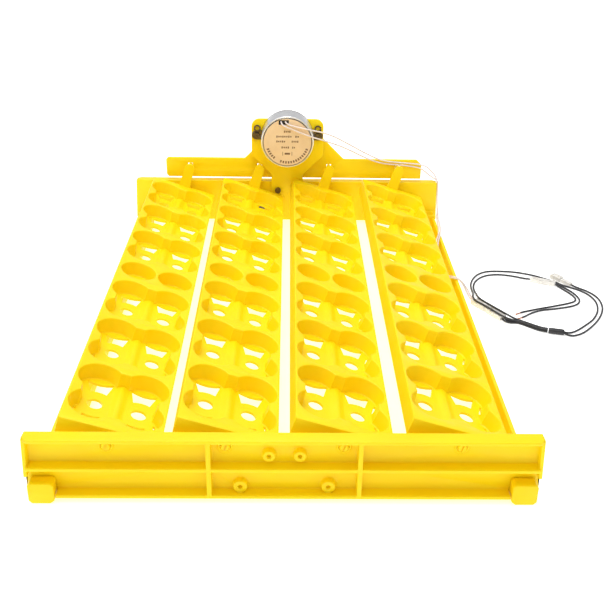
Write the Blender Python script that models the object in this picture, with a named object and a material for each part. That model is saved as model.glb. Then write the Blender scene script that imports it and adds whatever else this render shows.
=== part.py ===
"""Egg turning rack of an incubator: four tilting egg trays in a yellow frame, joined by a link bar
that a slow gear motor drives through a crank.

Lengths are written in millimetres and built in metres. Z is up, the front end of the rack faces -Y,
and the trays tip to the left and right about axes along Y.
"""

import math

import bmesh
import bpy
from mathutils import Matrix, Vector

MM = 0.001

# frame
END_Y = 225.0  # outer face of the end rails' flanges
WEB_IN = 215.5
WEB_OUT = 217.5
RAIL_LOW = 3.0
RAIL_HIGH = 44.0
PIVOT_Z = 36.0
PIVOT_X = (-103.2, -34.4, 34.4, 103.2)

# trays
TILT = 17.5  # degrees, right side down at rest
TRAY_HALF_U = 30.8
TRAY_HALF_Y = 209.0
TRAY_LOW = -7.6
TRAY_HIGH = 5.0
TRAY_FLOOR = -6.0
GROUP_Y = (49.2, 110.85, 172.5)
LOBE_AT = 14.7
LOBE_R = 14.6
NEST_R = 24.3
LEVER_R = 22.9  # lever pin above the tray's pivot

# drive
SHAFT_Z = 92.5
BAR_SHIFT = LEVER_R * math.sin(math.radians(TILT))  # the bar's offset at rest, also the crank's radius
BAR_Y = (219.0, 222.0)
BRACKET_Y = (212.6, 215.1)

# wiring
LEAD_R = 0.8
WHITE_R = 0.7


# ---------------------------------------------------------------- helpers


def clear_scene():
    for obj in list(bpy.data.objects):
        bpy.data.objects.remove(obj)


def new_collection(name):
    made = bpy.data.collections.new(name)
    bpy.context.scene.collection.children.link(made)
    return made


def material(name, color, roughness, metallic=0.0):
    made = bpy.data.materials.new(name)
    made.use_nodes = True
    shader = made.node_tree.nodes["Principled BSDF"]
    shader.inputs["Base Color"].default_value = (*color, 1.0)
    shader.inputs["Roughness"].default_value = roughness
    shader.inputs["Metallic"].default_value = metallic
    made.diffuse_color = (*color, 1.0)
    return made


def placed(axis, a, b, h):
    """A point from its two coordinates across the axis and its height along it."""
    if axis == "x":
        return Vector((h, a, b)) * MM
    if axis == "y":
        return Vector((a, h, b)) * MM
    return Vector((a, b, h)) * MM


def add_prism(bm, axis, points, low, high):
    """A closed prism of an outline: (y, z) along x, (x, z) along y, (x, y) along z."""
    count = len(points)
    lower = [bm.verts.new(placed(axis, a, b, low)) for a, b in points]
    upper = [bm.verts.new(placed(axis, a, b, high)) for a, b in points]
    faces = [bm.faces.new(lower), bm.faces.new(upper)]
    for i in range(count):
        j = (i + 1) % count
        faces.append(bm.faces.new((lower[i], lower[j], upper[j], upper[i])))
    bmesh.ops.recalc_face_normals(bm, faces=faces)
    return bm


def circle(a, b, radius, count, turn=0.0):
    step = 2 * math.pi / count
    return [
        (a + radius * math.cos(turn + i * step), b + radius * math.sin(turn + i * step))
        for i in range(count)
    ]


def box_outline(a0, a1, b0, b1):
    return [(a0, b0), (a1, b0), (a1, b1), (a0, b1)]


def add_box(bm, x, y, z):
    return add_prism(bm, "z", box_outline(x[0], x[1], y[0], y[1]), z[0], z[1])


def add_round(bm, axis, a, b, radius, low, high, count=16, turn=0.0):
    return add_prism(bm, axis, circle(a, b, radius, count, turn), low, high)


def mesh_object(name, bm, mat, coll):
    mesh = bpy.data.meshes.new(name)
    bm.to_mesh(mesh)
    bm.free()
    mesh.materials.append(mat)
    obj = bpy.data.objects.new(name, mesh)
    coll.objects.link(obj)
    return obj


def helper(name, bm):
    obj = mesh_object(name, bm, CUTTER_MAT, CUTTERS)
    obj.hide_render = True
    obj.display_type = "WIRE"
    return obj


def boolean(obj, operation, tool):
    step = obj.modifiers.new(operation.lower(), "BOOLEAN")
    step.operation = operation
    step.solver = "EXACT"
    step.object = tool
    step.use_self = operation == "UNION"
    return step


def solid(name, base, mat, adds=(), cuts=(), last=()):
    """A base shell: shells are added to it, then others cut away, and the last ones added."""
    obj = mesh_object(name, base, mat, RACK)
    for i, shell in enumerate(adds):
        boolean(obj, "UNION", helper(f"{name}_add{i}", shell))
    for i, shell in enumerate(cuts):
        boolean(obj, "DIFFERENCE", helper(f"{name}_cut{i}", shell))
    for i, shell in enumerate(last):
        boolean(obj, "UNION", helper(f"{name}_last{i}", shell))
    return obj


def new_mesh():
    return bmesh.new()


# ---------------------------------------------------------------- end rails


def rail_web_outline():
    """The web's outline in x and z: its ends flare a little toward the foot."""
    return [
        (-150.0, RAIL_LOW + 0.0),
        (150.0, RAIL_LOW + 0.0),
        (152.2, RAIL_LOW + 2.5),
        (150.0, RAIL_HIGH),
        (-150.0, RAIL_HIGH),
        (-152.2, RAIL_LOW + 2.5),
    ]


def end_rail(name, boss_spots, turned):
    """The front rail, which faces -Y. The rear rail is the same moulding turned half a turn."""
    base = add_prism(new_mesh(), "y", rail_web_outline(), -WEB_OUT, -WEB_IN)
    adds = []
    flange = [
        (-150.0, -WEB_OUT + 0.5),
        (-150.0, -END_Y + 2.0),
        (-148.0, -END_Y),
        (148.0, -END_Y),
        (150.0, -END_Y + 2.0),
        (150.0, -WEB_OUT + 0.5),
    ]
    adds.append(add_prism(new_mesh(), "z", flange, RAIL_HIGH - 2.2, RAIL_HIGH))
    adds.append(add_box(new_mesh(), (-149.6, 149.6), (-END_Y, -WEB_OUT + 0.5), (22.2, 24.4)))
    adds.append(add_box(new_mesh(), (-132.4, 132.4), (-END_Y, -WEB_OUT + 0.5), (3.0, 5.2)))
    ends = new_mesh()
    for side in (-1, 1):
        wall = [
            (side * 147.8, RAIL_HIGH - 0.4),
            (side * 150.0, RAIL_HIGH - 0.4),
            (side * 151.4, 17.0),
            (side * 149.2, 17.0),
        ]
        add_prism(ends, "y", wall, -END_Y + 1.6, -WEB_OUT + 0.5)
        add_box(ends, (side * 44.0 - 1.4, side * 44.0 + 1.4), (-END_Y, -WEB_OUT + 0.5), (4.0, 43.0))
    adds.append(ends)
    collars = new_mesh()
    for x in PIVOT_X:
        add_round(collars, "y", x, PIVOT_Z, 6.0, -221.0, -WEB_OUT + 0.5, 20)
    for x, z, radius in boss_spots:
        add_round(collars, "y", x, z, radius, -221.4, -WEB_OUT + 0.5, 14)
    adds.append(collars)
    holes = new_mesh()
    for x in PIVOT_X:
        add_round(holes, "y", x, PIVOT_Z, 3.1, -230.0, -210.0, 24)
    for x, z, radius in boss_spots:
        add_round(holes, "y", x, z, 1.35, -230.0, -210.0, 10)
    if turned:
        for shell in [base, *adds, holes]:
            bmesh.ops.transform(shell, matrix=Matrix.Rotation(math.pi, 4, "Z"), verts=shell.verts)
    return solid(name, base, YELLOW, adds, [holes])


def build_end_rails():
    front = [(-9.0, 31.0, 3.8), (9.0, 31.0, 3.8), (-26.0, 9.0, 4.3), (26.0, 9.0, 4.3)]
    end_rail("front_end_rail", front, turned=False)
    rear = [(-9.2, 36.0, 3.8), (9.2, 36.0, 3.8), (-25.5, 16.5, 4.3), (25.5, 16.5, 4.3)]
    end_rail("rear_end_rail", rear, turned=True)


# ---------------------------------------------------------------- side rails


def side_rail(name, side):
    """A channel open at the top, with a block at each end whose slot takes an end rail's web."""
    channel = [
        (133.5, 1.2),
        (134.7, 0.0),
        (147.8, 0.0),
        (149.0, 1.2),
        (149.0, 11.0),
        (146.4, 11.0),
        (146.4, 2.5),
        (136.0, 2.5),
        (136.0, 11.0),
        (133.5, 11.0),
    ]
    points = [(side * x, z) for x, z in channel]
    base = add_prism(new_mesh(), "y", points, -205.0, 205.0)
    blocks = new_mesh()
    for end in (-1, 1):
        block = [
            (134.4, 2.0),
            (136.8, 0.0),
            (147.6, 0.0),
            (149.5, 2.0),
            (149.5, 12.6),
            (148.1, 14.0),
            (135.8, 14.0),
            (134.4, 12.6),
        ]
        rim = [(side * x, z) for x, z in block]
        low, high = sorted((end * 203.6, end * 226.0))
        add_prism(blocks, "y", rim, low, high)
    slots = new_mesh()
    for end in (-1, 1):
        low, high = sorted((end * 215.2, end * 218.0))
        add_box(slots, (side * 141.0 - 12, side * 141.0 + 12), (low, high), (2.7, 20.0))
    # The end blocks are hollow from above, behind the slot and in front of it.
    wells = new_mesh()
    for end in (-1, 1):
        low, high = sorted((end * 205.6, end * 213.4))
        add_box(wells, (side * 142.0 - 5.4, side * 142.0 + 5.4), (low, high), (5.0, 20.0))
    return solid(name, base, YELLOW, [blocks], [slots, wells])


def build_side_rails():
    side_rail("left_side_rail", -1)
    side_rail("right_side_rail", 1)


# ---------------------------------------------------------------- trays


def nest_outline():
    """Four egg lobes and, through their middle, the round of one large egg: a closed outline."""
    d = LOBE_AT * math.sqrt(2)
    cosine = (NEST_R**2 - d**2 - LOBE_R**2) / (2 * d * LOBE_R)
    reach = math.acos(cosine)
    points = []
    for quarter in range(4):
        middle = math.radians(45 + 90 * quarter)
        cx = d * math.cos(middle)
        cy = d * math.sin(middle)
        steps = 7
        for i in range(steps + 1):
            angle = middle - reach + 2 * reach * i / steps
            points.append((cx + LOBE_R * math.cos(angle), cy + LOBE_R * math.sin(angle)))
        tip = math.radians(90 + 90 * quarter)
        points.append((NEST_R * math.cos(tip), NEST_R * math.sin(tip)))
    return points


def moved(points, u, y):
    return [(a + u, b + y) for a, b in points]


def pair_outline(side):
    """One lobe of the single row at the middle of a tray."""
    return circle(side * LOBE_AT, 0.0, 13.6, 18)


def bow_outline(side, fore):
    """The floor opening behind or before a cell's ring."""
    corners = [(-5.4, 12.2), (5.4, 12.2), (8.8, 23.6), (-8.2, 24.8)]
    return [(side * (14.0 + a), fore * b) for a, b in corners]


def tray_mesh():
    """One tray about its own pivot axis, which is the local Y axis."""
    base = add_box(
        new_mesh(),
        (-TRAY_HALF_U, TRAY_HALF_U),
        (-TRAY_HALF_Y, TRAY_HALF_Y),
        (TRAY_LOW, TRAY_HIGH),
    )
    pins = new_mesh()
    for end in (-1, 1):
        low, high = sorted((end * 208.0, end * 219.5))
        add_round(pins, "y", 0.0, 0.0, 3.0, low, high, 24)
    lever = [(-5.6, 2.0), (5.6, 2.0), (4.4, 24.0), (2.6, 25.6), (-2.6, 25.6), (-4.4, 24.0)]
    stem = add_prism(new_mesh(), "y", lever, 207.2, 209.6)
    pin = add_round(new_mesh(), "y", 0.0, LEVER_R, 2.0, 208.4, 224.0, 16)
    pockets = new_mesh()
    openings = new_mesh()
    walls = new_mesh()
    nest = nest_outline()
    for y in [sign * at for at in GROUP_Y for sign in (-1, 1)]:
        add_prism(pockets, "z", moved(nest, 0.0, y), TRAY_FLOOR, 8.0)
        add_box(walls, (-1.3, 1.3), (y - NEST_R - 0.8, y + NEST_R + 0.8), (TRAY_FLOOR - 0.8, -2.0))
        for side in (-1, 1):
            add_round(openings, "z", side * 14.0, y, 5.5, -9.0, -4.0, 10)
            for fore in (-1, 1):
                add_prism(openings, "z", moved(bow_outline(side, fore), 0.0, y), -9.0, -4.0)
    for side in (-1, 1):
        add_prism(pockets, "z", pair_outline(side), TRAY_FLOOR, 8.0)
        add_round(openings, "z", side * LOBE_AT, 0.0, 5.5, -9.0, -4.0, 10)
    shaped = solid(
        "tray_shape", base, YELLOW, [pins, stem, pin], [pockets, openings], [walls]
    )
    bpy.context.view_layer.update()
    graph = bpy.context.evaluated_depsgraph_get()
    mesh = bpy.data.meshes.new_from_object(shaped.evaluated_get(graph))
    bpy.data.objects.remove(shaped)
    return mesh


def build_trays():
    shape = tray_mesh()
    for number, x in enumerate(PIVOT_X, start=1):
        tray = bpy.data.objects.new(f"tray_{number}", shape.copy())
        RACK.objects.link(tray)
        tray.location = (x * MM, 0.0, PIVOT_Z * MM)
        tray.rotation_euler = (0.0, math.radians(TILT), 0.0)


# ---------------------------------------------------------------- link bar


def build_link_bar():
    x = BAR_SHIFT
    rim = [
        (-125.0, 47.0),
        (127.0, 47.0),
        (127.0, 61.5),
        (122.0, 66.5),
        (49.0, 66.5),
        (27.5, 88.0),
        (27.5, 102.0),
        (24.0, 106.0),
        (-24.0, 106.0),
        (-27.5, 102.0),
        (-27.5, 88.0),
        (-49.0, 66.5),
        (-125.0, 66.5),
        (-127.0, 64.5),
        (-127.0, 49.0),
    ]
    base = add_prism(new_mesh(), "y", [(a + x, b) for a, b in rim], *BAR_Y)
    slots = new_mesh()
    for at in PIVOT_X:
        slot = box_outline(at + x - 2.35, at + x + 2.35, 55.6, 61.2)
        add_prism(slots, "y", slot, 210.0, 230.0)
    yoke = box_outline(x - 3.7, x + 3.7, 83.2, 101.8)
    add_prism(slots, "y", yoke, 210.0, 230.0)
    solid("link_bar", base, YELLOW, [], [slots])


# ---------------------------------------------------------------- motor and crank


def build_bracket():
    rim = [(-35.0, 72.0), (-15.5, 52.0), (-15.5, 30.0), (-31.0, 22.0), (-31.0, 10.0)]
    rim += [(31.0, 10.0), (31.0, 22.0), (15.5, 30.0), (15.5, 52.0), (35.0, 72.0)]
    for i in range(5):
        angle = math.radians(90 * i / 4)
        rim.append((27.0 + 8.0 * math.cos(angle), 100.3 + 8.0 * math.sin(angle)))
    for i in range(5):
        angle = math.radians(90 + 90 * i / 4)
        rim.append((-27.0 + 8.0 * math.cos(angle), 100.3 + 8.0 * math.sin(angle)))
    base = add_prism(new_mesh(), "y", rim, *BRACKET_Y)
    holes = new_mesh()
    add_round(holes, "y", 0.0, SHAFT_Z, 6.0, 205.0, 220.0, 24)
    for side in (-1, 1):
        add_round(holes, "y", side * 30.0, SHAFT_Z, 1.7, 205.0, 220.0, 12)
        add_round(holes, "y", side * 9.2, 36.0, 1.7, 205.0, 220.0, 12)
        add_round(holes, "y", side * 25.5, 16.5, 1.7, 205.0, 220.0, 12)
    solid("motor_bracket", base, YELLOW, [], [holes])


def lead_exit():
    """The slot that the two leads come out of, through the can's front and its label."""
    return add_prism(new_mesh(), "y", box_outline(-8.4, 1.2, 109.4, 114.0), 180.0, 190.2)


def build_motor():
    can = add_round(new_mesh(), "y", 0.0, SHAFT_Z, 24.9, 189.0, 210.9, 40)
    bore = add_round(new_mesh(), "y", 0.0, SHAFT_Z, 24.1, 189.8, 215.0, 40)
    solid("motor_can", can, STEEL, [], [bore, lead_exit()])
    label = add_round(new_mesh(), "y", 0.0, SHAFT_Z, 22.6, 188.3, 188.7, 32)
    solid("motor_label", label, LABEL, [], [lead_exit()])
    plate = []
    for side in (1, -1):
        middle = 0.0 if side == 1 else math.pi
        plate += [
            (side * 22.0, SHAFT_Z - side * 4.6),
            (side * 30.0, SHAFT_Z - side * 4.6),
        ]
        for i in range(1, 6):
            angle = middle - math.pi / 2 + math.pi * i / 6
            plate.append((side * 30.0 + 4.6 * math.cos(angle), SHAFT_Z + 4.6 * math.sin(angle)))
        plate += [
            (side * 30.0, SHAFT_Z + side * 4.6),
            (side * 22.0, SHAFT_Z + side * 4.6),
        ]
        for i in range(1, 12):
            angle = middle + math.radians(12 + 156 * i / 12)
            plate.append((24.9 * math.cos(angle), SHAFT_Z + 24.9 * math.sin(angle)))
    base = add_prism(new_mesh(), "y", plate, 211.2, 212.4)
    holes = new_mesh()
    add_round(holes, "y", 0.0, SHAFT_Z, 3.8, 205.0, 220.0, 20)
    for side in (-1, 1):
        add_round(holes, "y", side * 30.0, SHAFT_Z, 1.7, 205.0, 220.0, 12)
    solid("motor_gear_plate", base, STEEL, [], [holes])
    coil = add_round(new_mesh(), "y", 0.0, SHAFT_Z, 22.0, 190.6, 202.0, 28)
    core = add_round(new_mesh(), "y", 0.0, SHAFT_Z, 12.0, 185.0, 208.0, 24)
    solid("stator_coil", coil, COPPER, [], [core])
    rotor = add_round(new_mesh(), "y", 0.0, SHAFT_Z, 10.8, 190.8, 201.8, 24)
    solid("rotor_magnet", rotor, DARK)


def gear_outline(teeth, tip, root):
    points = []
    for i in range(teeth):
        for part, radius in ((0.0, root), (0.28, tip), (0.5, tip), (0.78, root)):
            angle = 2 * math.pi * (i + part) / teeth
            points.append((radius * math.cos(angle), SHAFT_Z + radius * math.sin(angle)))
    return points


def build_crank():
    gear = add_prism(new_mesh(), "y", gear_outline(34, 20.0, 18.4), 204.0, 208.0)
    bore = add_round(new_mesh(), "y", 0.0, SHAFT_Z, 3.8, 200.0, 212.0, 20)
    solid("reduction_gear", gear, STEEL, [], [bore])
    shaft = add_round(new_mesh(), "y", 0.0, SHAFT_Z, 3.5, 202.6, 218.2, 20)
    solid("output_shaft", shaft, STEEL)
    disc = add_round(new_mesh(), "y", 0.0, SHAFT_Z, 11.0, 215.5, 218.6, 28)
    pin = add_round(new_mesh(), "y", BAR_SHIFT, SHAFT_Z, 2.0, 217.6, 222.3, 16)
    cuts = add_round(new_mesh(), "y", 0.0, SHAFT_Z, 3.8, 210.0, 220.0, 20)
    bore = add_round(new_mesh(), "y", BAR_SHIFT, SHAFT_Z, 1.1, 218.0, 225.0, 10)
    solid("crank_disc", disc, WHITE, [pin], [cuts, bore])
    head = add_round(new_mesh(), "y", BAR_SHIFT, SHAFT_Z, 4.4, 222.6, 224.0, 20)
    thread = add_round(new_mesh(), "y", BAR_SHIFT, SHAFT_Z, 0.9, 218.6, 223.0, 10)
    solid("crank_pin_screw", head, STEEL, [thread])


# ---------------------------------------------------------------- screws


def screw(name, x, z, head, tip, head_r, body_r):
    """A screw whose head faces -Y: head and tip are (from, to) along Y."""
    base = add_round(new_mesh(), "y", x, z, head_r, head[0], head[1], 16)
    body = add_round(new_mesh(), "y", x, z, body_r, head[1] - 0.4, tip, 12)
    groove = new_mesh()
    add_box(groove, (x - 0.4, x + 0.4), (head[0] - 1.0, head[0] + 0.9), (z - 1.8, z + 1.8))
    across = new_mesh()
    add_box(across, (x - 1.8, x + 1.8), (head[0] - 1.0, head[0] + 0.9), (z - 0.4, z + 0.4))
    solid(name, base, STEEL, [body], [groove, across])


def build_screws():
    for side, label in ((-1, "left"), (1, "right")):
        x = side * 30.0
        screw(f"motor_screw_{label}", x, SHAFT_Z, (209.0, 210.9), 217.9, 2.8, 1.4)
        rim = circle(x, SHAFT_Z, 3.1, 6)
        nut = add_prism(new_mesh(), "y", rim, 215.4, 217.6)
        bore = add_round(new_mesh(), "y", x, SHAFT_Z, 1.65, 210.0, 220.0, 12)
        solid(f"motor_nut_{label}", nut, STEEL, [], [bore])
        screw(f"bracket_screw_upper_{label}", side * 9.2, 36.0, (210.4, 212.3), 220.6, 3.0, 1.05)
        screw(f"bracket_screw_lower_{label}", side * 25.5, 16.5, (210.4, 212.3), 220.6, 3.0, 1.05)


# ---------------------------------------------------------------- wiring


def smooth_route(knots, spacing):
    """Points a fixed way apart on a Catmull-Rom curve through the knots."""
    ends = [knots[0]] + list(knots) + [knots[-1]]
    fine = []
    for i in range(len(knots) - 1):
        p0, p1, p2, p3 = (Vector(p) for p in ends[i : i + 4])
        for step in range(20):
            t = step / 20
            fine.append(
                0.5
                * (
                    2 * p1
                    + (p2 - p0) * t
                    + (2 * p0 - 5 * p1 + 4 * p2 - p3) * t * t
                    + (3 * p1 - p0 - 3 * p2 + p3) * t**3
                )
            )
    fine.append(Vector(knots[-1]))
    total = sum((b - a).length for a, b in zip(fine, fine[1:]))
    count = max(4, round(total / spacing))
    route = [fine[0]]
    run = 0.0
    for a, b in zip(fine, fine[1:]):
        length = (b - a).length
        while len(route) < count and run + length >= total * len(route) / count:
            route.append(a.lerp(b, (total * len(route) / count - run) / length))
        run += length
    return route[:count] + [fine[-1]]


def lead(name, knots, radius, mat):
    total = sum((Vector(b) - Vector(a)).length for a, b in zip(knots, knots[1:]))
    route = smooth_route(knots, max(4.5, total / 76))
    curve = bpy.data.curves.new(name, "CURVE")
    curve.dimensions = "3D"
    curve.bevel_depth = radius * MM
    curve.bevel_resolution = 2
    curve.use_fill_caps = True
    spline = curve.splines.new("POLY")
    spline.points.add(len(route) - 1)
    for point, at in zip(spline.points, route):
        point.co = (at.x * MM, at.y * MM, at.z * MM, 1.0)
    curve.materials.append(mat)
    obj = bpy.data.objects.new(name, curve)
    RACK.objects.link(obj)
    return obj


# Each route runs from where the lead leaves a piece to where it ends.
WHITE_LOWER = [
    (-6.0, 189.9, 112.3), (-6.0, 188.3, 112.3), (-5.6, 187.0, 111.4), (-3.6, 186.3, 109.2),
    (5.9, 186.0, 105.3),
    (16.0, 186.0, 101.2), (21.4, 186.2, 99.3), (27.0, 188.2, 96.9), (33.0, 192.0, 94.2),
    (46.9, 199.4, 87.6), (55.7, 204.2, 82.8), (64.7, 209.1, 77.4), (73.7, 212.8, 72.0),
    (82.7, 215.8, 67.4), (90.0, 217.2, 64.6), (97.0, 217.3, 63.2), (105.0, 217.3, 62.4),
    (117.7, 217.3, 61.4), (126.5, 217.3, 60.2), (131.8, 217.5, 59.0), (136.4, 218.0, 56.3),
    (142.3, 218.8, 51.4), (147.6, 219.2, 47.8), (151.2, 219.4, 44.8), (152.0, 219.4, 38.6),
    (152.5, 219.0, 28.0), (152.9, 217.4, 20.0), (152.6, 212.4, 14.4), (151.0, 204.0, 12.4),
    (150.0, 190.0, 12.0), (148.4, 172.0, 12.0), (146.2, 158.0, 12.0), (142.7, 146.2, 11.1),
    (140.5, 134.2, 7.8), (139.2, 120.0, 4.2), (139.0, 104.0, 3.4), (139.2, 88.0, 3.8),
    (140.0, 76.0, 6.6), (141.2, 67.4, 10.2), (144.2, 61.2, 12.2), (148.8, 58.4, 12.4),
    (152.4, 57.6, 9.2), (154.6, 56.9, 5.4), (156.6, 54.4, 2.0), (157.3, 50.0, 0.9),
    (157.6, 45.0, 1.1), (158.5, 40.0, 1.9), (158.9, 37.6, 2.1),
]
WHITE_UPPER = [
    (-2.0, 189.9, 112.3), (-2.0, 188.3, 112.3), (-1.0, 187.0, 111.4), (2.4, 186.3, 109.8),
    (9.5, 186.0, 108.0),
    (18.2, 186.2, 106.2), (24.0, 188.0, 104.4), (33.8, 192.9, 101.0), (45.0, 198.4, 95.6),
    (55.5, 204.2, 88.8), (64.5, 209.1, 82.7), (73.4, 212.8, 76.9), (82.5, 215.8, 71.6),
    (90.0, 217.2, 68.0), (97.0, 217.3, 66.1), (104.5, 217.3, 65.0), (117.6, 217.3, 63.9),
    (126.2, 217.3, 63.3), (133.3, 217.8, 62.2), (139.8, 219.0, 59.4), (145.2, 220.4, 54.2),
    (149.4, 221.2, 48.8), (151.6, 221.4, 43.0), (152.1, 221.4, 37.0), (152.7, 221.0, 28.0),
    (153.2, 219.3, 19.4), (153.8, 213.4, 12.8), (152.8, 204.4, 11.2), (151.9, 190.0, 11.6),
    (150.2, 172.0, 12.0), (147.6, 156.8, 12.1), (144.5, 145.8, 11.3), (142.3, 133.8, 7.8),
    (141.1, 119.6, 4.2), (140.8, 104.0, 3.4), (141.0, 88.4, 3.8), (141.8, 76.8, 6.6),
    (143.2, 69.0, 10.2), (146.0, 63.2, 12.2), (149.2, 60.4, 12.2), (152.6, 59.6, 9.4),
    (155.8, 58.8, 5.4), (158.3, 56.0, 2.0), (159.1, 51.0, 0.9), (159.5, 45.6, 1.1),
    (160.5, 41.2, 1.9), (160.85, 38.8, 2.1),
]
FEED_LOWER = [
    (177.4, 5.3, 2.0), (179.2, 2.5, 1.4), (183.4, 0.8, 0.9), (189.75, 0.15, 0.9),
    (196.65, -5.65, 0.9), (203.4, -11.65, 1.1), (209.4, -15.0, 1.5),
]
FEED_UPPER = [
    (179.6, 6.4, 2.0), (181.4, 4.2, 1.4), (184.8, 3.0, 0.9), (191.05, 1.7, 0.9),
    (197.95, -4.1, 0.9), (204.8, -10.1, 1.1), (210.05, -13.2, 1.5),
]
LONG_LOOP = [
    (209.4, -15.0, 3.3), (203.4, -11.65, 2.9), (196.65, -5.65, 2.7), (189.75, 0.15, 2.7),
    (184.6, 1.6, 3.2), (179.6, 3.2, 4.3), (175.1, 7.6, 5.1), (170.4, 15.3, 5.15),
    (165.2, 23.9, 5.15), (159.9, 32.2, 5.15), (158.9, 38.5, 5.15), (160.0, 44.4, 4.6),
    (161.2, 51.0, 2.8), (161.9, 58.0, 1.2), (162.2, 64.0, 0.9), (163.4, 72.4, 0.9),
    (167.0, 82.6, 0.9), (173.1, 92.2, 0.9), (181.7, 98.4, 0.9), (192.6, 99.9, 0.9),
    (206.9, 98.4, 0.9), (216.8, 95.0, 0.9), (224.0, 91.3, 0.9), (230.5, 86.3, 0.9),
    (236.8, 81.2, 0.9), (241.2, 76.4, 0.9), (245.6, 71.4, 0.9), (250.6, 67.4, 0.9),
    (255.4, 63.4, 0.9), (259.2, 59.0, 0.9), (262.4, 53.4, 0.9), (264.4, 46.5, 0.9),
    (264.9, 38.5, 0.9), (263.4, 29.1, 0.9), (259.6, 18.5, 0.9), (252.8, 7.1, 0.9),
    (244.4, -2.1, 0.9), (236.5, -9.8, 0.9), (230.4, -14.4, 0.9), (225.8, -16.4, 1.3),
    (222.2, -16.6, 2.2),
]
SHORT_LOOP = [
    (210.05, -13.2, 3.3), (204.8, -10.1, 2.9), (197.95, -4.1, 2.7), (191.05, 1.7, 2.7),
    (186.6, 4.3, 3.3), (182.1, 7.8, 4.5), (177.6, 13.2, 5.15), (172.4, 21.6, 5.15),
    (167.2, 30.1, 5.15), (164.2, 35.6, 5.15), (162.9, 41.4, 5.0), (163.5, 47.0, 3.9),
    (164.0, 54.0, 1.6), (164.2, 61.0, 0.9), (165.2, 68.8, 0.9), (168.2, 77.2, 0.9),
    (174.2, 85.6, 0.9), (181.8, 90.8, 0.9), (190.3, 92.6, 0.9), (198.4, 91.6, 0.9),
    (205.6, 89.2, 0.9), (213.2, 84.9, 1.2), (218.1, 81.7, 1.9),
]
OUTER_RETURN = [
    (221.8, -18.5, 2.2), (225.2, -19.9, 1.2), (229.8, -20.2, 0.9), (238.2, -15.5, 0.9),
    (248.3, -5.0, 0.9), (258.0, 8.2, 0.9), (265.0, 21.7, 0.9), (268.4, 33.4, 0.9),
    (269.0, 45.5, 0.9), (266.6, 54.4, 0.9), (262.5, 61.2, 0.9), (258.2, 65.8, 0.9),
    (255.0, 68.7, 1.2), (252.75, 70.9, 1.6),
]
TAIL_INNER = [
    (238.45, 71.1, 1.9), (240.6, 67.6, 1.3), (243.6, 62.4, 0.9), (246.6, 56.0, 0.9),
    (248.6, 49.6, 0.9), (248.8, 44.2, 0.9), (246.4, 40.0, 0.9), (241.0, 36.6, 0.9),
    (232.3, 33.0, 0.9), (221.0, 28.8, 0.9), (213.5, 26.2, 0.9), (206.0, 23.2, 0.9),
    (197.4, 19.6, 0.9), (190.8, 15.6, 0.9),
]
TAIL_OUTER = [
    (239.35, 73.0, 1.9), (242.6, 69.8, 1.3), (246.2, 64.8, 0.9), (249.6, 57.8, 0.9),
    (251.6, 50.4, 0.9), (251.8, 42.6, 0.9), (249.0, 36.4, 0.9), (243.8, 32.0, 0.9),
    (236.0, 28.8, 0.9), (225.5, 25.8, 0.9), (215.6, 23.6, 0.9), (209.0, 20.6, 0.9),
    (202.6, 16.4, 0.9), (196.8, 11.4, 0.9), (190.4, 7.4, 0.9),
]


def block(name, start, end, width, height, mat, chamfer=0.6):
    """A small housing that lies on the surface under it, from one end point to the other."""
    along = (Vector(end) - Vector(start)).normalized()
    across = Vector((-along.y, along.x))
    half = width / 2
    c = chamfer
    ring = [(-half + c, 0.0), (half - c, 0.0), (half, c), (half, height - c)]
    ring += [(half - c, height), (-half + c, height), (-half, height - c), (-half, c)]
    bm = new_mesh()
    rows = []
    for spot in (start, end):
        row = []
        for a, z in ring:
            at = Vector(spot) + across * a
            row.append(bm.verts.new(Vector((at.x, at.y, z)) * MM))
        rows.append(row)
    bm.faces.new(rows[0])
    bm.faces.new(rows[1])
    for i in range(8):
        j = (i + 1) % 8
        bm.faces.new((rows[0][i], rows[0][j], rows[1][j], rows[1][i]))
    bmesh.ops.recalc_face_normals(bm, faces=bm.faces)
    return mesh_object(name, bm, mat, RACK)


def build_wiring():
    lead("white_lead_lower", WHITE_LOWER, WHITE_R, LEAD_WHITE)
    lead("white_lead_upper", WHITE_UPPER, WHITE_R, LEAD_WHITE)
    lead("feed_lead_lower", FEED_LOWER, LEAD_R, LEAD_BLACK)
    lead("feed_lead_upper", FEED_UPPER, LEAD_R, LEAD_BLACK)
    lead("long_loop_lead", LONG_LOOP, LEAD_R, LEAD_BLACK)
    lead("short_loop_lead", SHORT_LOOP, LEAD_R, LEAD_BLACK)
    lead("return_loop_lead", OUTER_RETURN, LEAD_R, LEAD_BLACK)
    lead("tail_lead_inner", TAIL_INNER, LEAD_R, LEAD_BLACK)
    lead("tail_lead_outer", TAIL_OUTER, LEAD_R, LEAD_BLACK)
    block("plug_housing", (160.2, 37.2), (168.3, 24.0), 8.4, 4.2, WHITE)
    block("socket_housing", (168.5, 23.7), (178.0, 6.4), 7.2, 4.0, WHITE)
    block("splice_sleeve", (210.9, -14.6), (221.6, -17.5), 5.0, 4.7, LEAD_BLACK, 1.4)
    block("inline_housing_a", (218.6, 81.4), (238.4, 72.4), 5.4, 3.8, WHITE)
    block("inline_housing_b", (240.0, 89.0), (245.9, 80.6), 6.4, 4.2, WHITE)
    block("inline_socket_b", (246.1, 80.3), (252.4, 71.4), 4.2, 3.2, WHITE)


def main():
    build_end_rails()
    build_side_rails()
    build_trays()
    build_link_bar()
    build_bracket()
    build_motor()
    build_crank()
    build_screws()
    build_wiring()


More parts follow.
